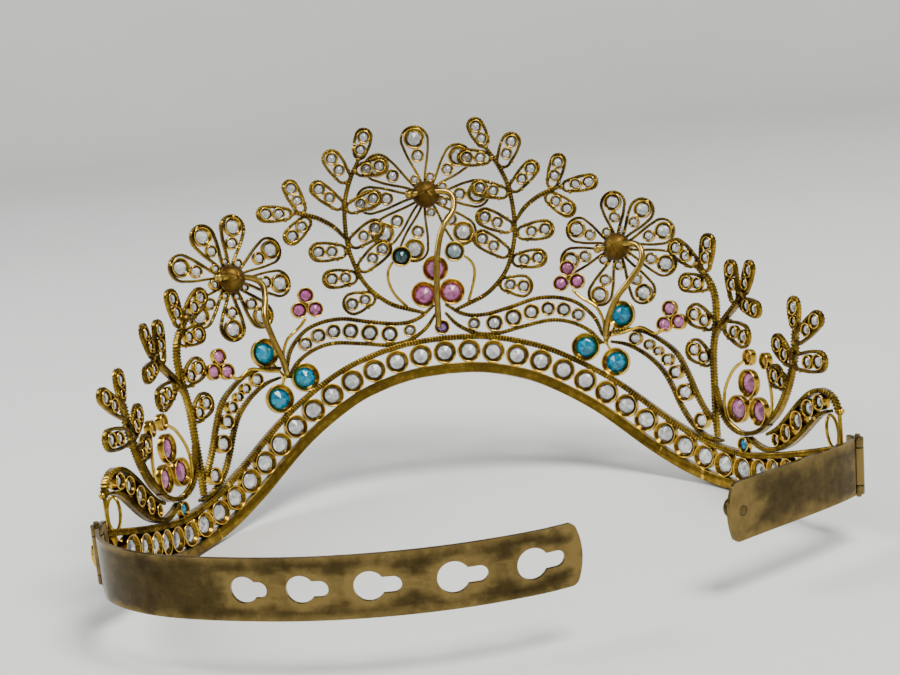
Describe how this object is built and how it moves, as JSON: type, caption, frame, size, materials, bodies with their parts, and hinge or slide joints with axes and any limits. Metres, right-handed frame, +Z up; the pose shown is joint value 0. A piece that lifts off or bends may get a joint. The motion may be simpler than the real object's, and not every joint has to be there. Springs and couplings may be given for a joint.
{
  "type": "crown",
  "caption": "Open filigree crown of gilt wire set with paste stones: stone-set band, scrolls, leaf sprays, trembling flowers, and hinged straps that fasten behind the head by keyhole and stud.",
  "frame": {"origin": "on the surface the crown stands on, at the middle of its bounding box", "axes": "+Z up, the front of the crown faces -Y, +X towards the wearer's left; the crown's wall is symmetric about the YZ plane"},
  "size_m": [0.1796, 0.1508, 0.1002],
  "materials": {
    "gilt_brass": "aged gilt, satin with brown patina",
    "strap_brass": "aged gilt sheet, blotchy olive-brown",
    "hub_brass": "brown tarnished gilt",
    "clear_glass": "cut and polished",
    "turquoise_glass": "cut and polished",
    "rose_glass": "cut and polished",
    "amber_glass": "cut and polished",
    "teal_glass": "cut and polished",
    "opal_glass": "cut and polished",
    "purple_glass": "cut and polished",
    "garnet_glass": "cut and polished"
  },
  "bodies": {
    "crown_frame": {"accent_collets": "gilt_brass", "amber_collets": "gilt_brass", "amber_stones": "amber_glass", "band_collets": "gilt_brass", "band_stones": "clear_glass", "center_spray_leaves": "gilt_brass", "center_spray_stems": "gilt_brass", "cradles": "gilt_brass", "end_loops": "gilt_brass", "end_posts": "gilt_brass", "end_scroll_lower_rails": "gilt_brass", "end_scroll_upper_rails": "gilt_brass", "end_spray_leaves": "gilt_brass", "end_spray_stems": "gilt_brass", "flower_stems": "gilt_brass", "hinge_brackets": "strap_brass", "hinge_collets": "gilt_brass", "hinge_pins": "strap_brass", "hinge_stones": "garnet_glass", "inner_scroll_lower_rails": "gilt_brass", "inner_scroll_upper_rails": "gilt_brass", "leaf_collets": "gilt_brass", "leaf_stones": "clear_glass", "lower_rim": "gilt_brass", "opal_stone": "opal_glass", "outer_scroll_lower_rails": "gilt_brass", "outer_scroll_upper_rails": "gilt_brass", "outer_spray_leaves": "gilt_brass", "outer_spray_stems": "gilt_brass", "pink_collets": "gilt_brass", "pink_stones": "rose_glass", "purple_stone": "purple_glass", "scroll_collets": "gilt_brass", "scroll_stones": "clear_glass", "spray_branches": "gilt_brass", "teal_stone": "teal_glass", "tendrils": "gilt_brass", "trefoil_stars": "gilt_brass", "turquoise_collets": "gilt_brass", "turquoise_stones": "turquoise_glass", "upper_rim": "gilt_brass"},
    "left_strap": {"left_strap": "strap_brass"},
    "right_strap": {"right_strap": "strap_brass", "stud": "strap_brass"},
    "center_flower": {"center_flower_petals": "gilt_brass", "center_flower_collets": "gilt_brass", "center_flower_stones": "clear_glass", "center_flower_hub": "hub_brass"},
    "left_flower": {"left_flower_petals": "gilt_brass", "left_flower_collets": "gilt_brass", "left_flower_stones": "clear_glass", "left_flower_hub": "hub_brass"},
    "right_flower": {"right_flower_petals": "gilt_brass", "right_flower_collets": "gilt_brass", "right_flower_stones": "clear_glass", "right_flower_hub": "hub_brass"}
  },
  "joints": [
    {"name": "left_strap_hinge", "type": "hinge", "parent": "crown_frame", "child": "left_strap", "pos_m": [0.087, 0.03687, 0.01918], "axis": [0, 0, 1], "range_deg": [-75, 20]},
    {"name": "right_strap_hinge", "type": "hinge", "parent": "crown_frame", "child": "right_strap", "pos_m": [-0.087, 0.03687, 0.01918], "axis": [0, 0, 1], "range_deg": [-20, 75]},
    {"name": "center_flower_tremble", "type": "hinge", "parent": "crown_frame", "child": "center_flower", "pos_m": [0, -0.0655, 0.0801], "axis": [1, 0, 0], "range_deg": [-6, 6], "stiffness_Nm_per_rad": 0.05},
    {"name": "left_flower_tremble", "type": "hinge", "parent": "crown_frame", "child": "left_flower", "pos_m": [0.05597, -0.04884, 0.06396], "axis": [0.8145, 0.5517, 0.1793], "range_deg": [-6, 6], "stiffness_Nm_per_rad": 0.05},
    {"name": "right_flower_tremble", "type": "hinge", "parent": "crown_frame", "child": "right_flower", "pos_m": [-0.05091, -0.05141, 0.06144], "axis": [0.8696, -0.4695, -0.1526], "range_deg": [-6, 6], "stiffness_Nm_per_rad": 0.05}
  ]
}
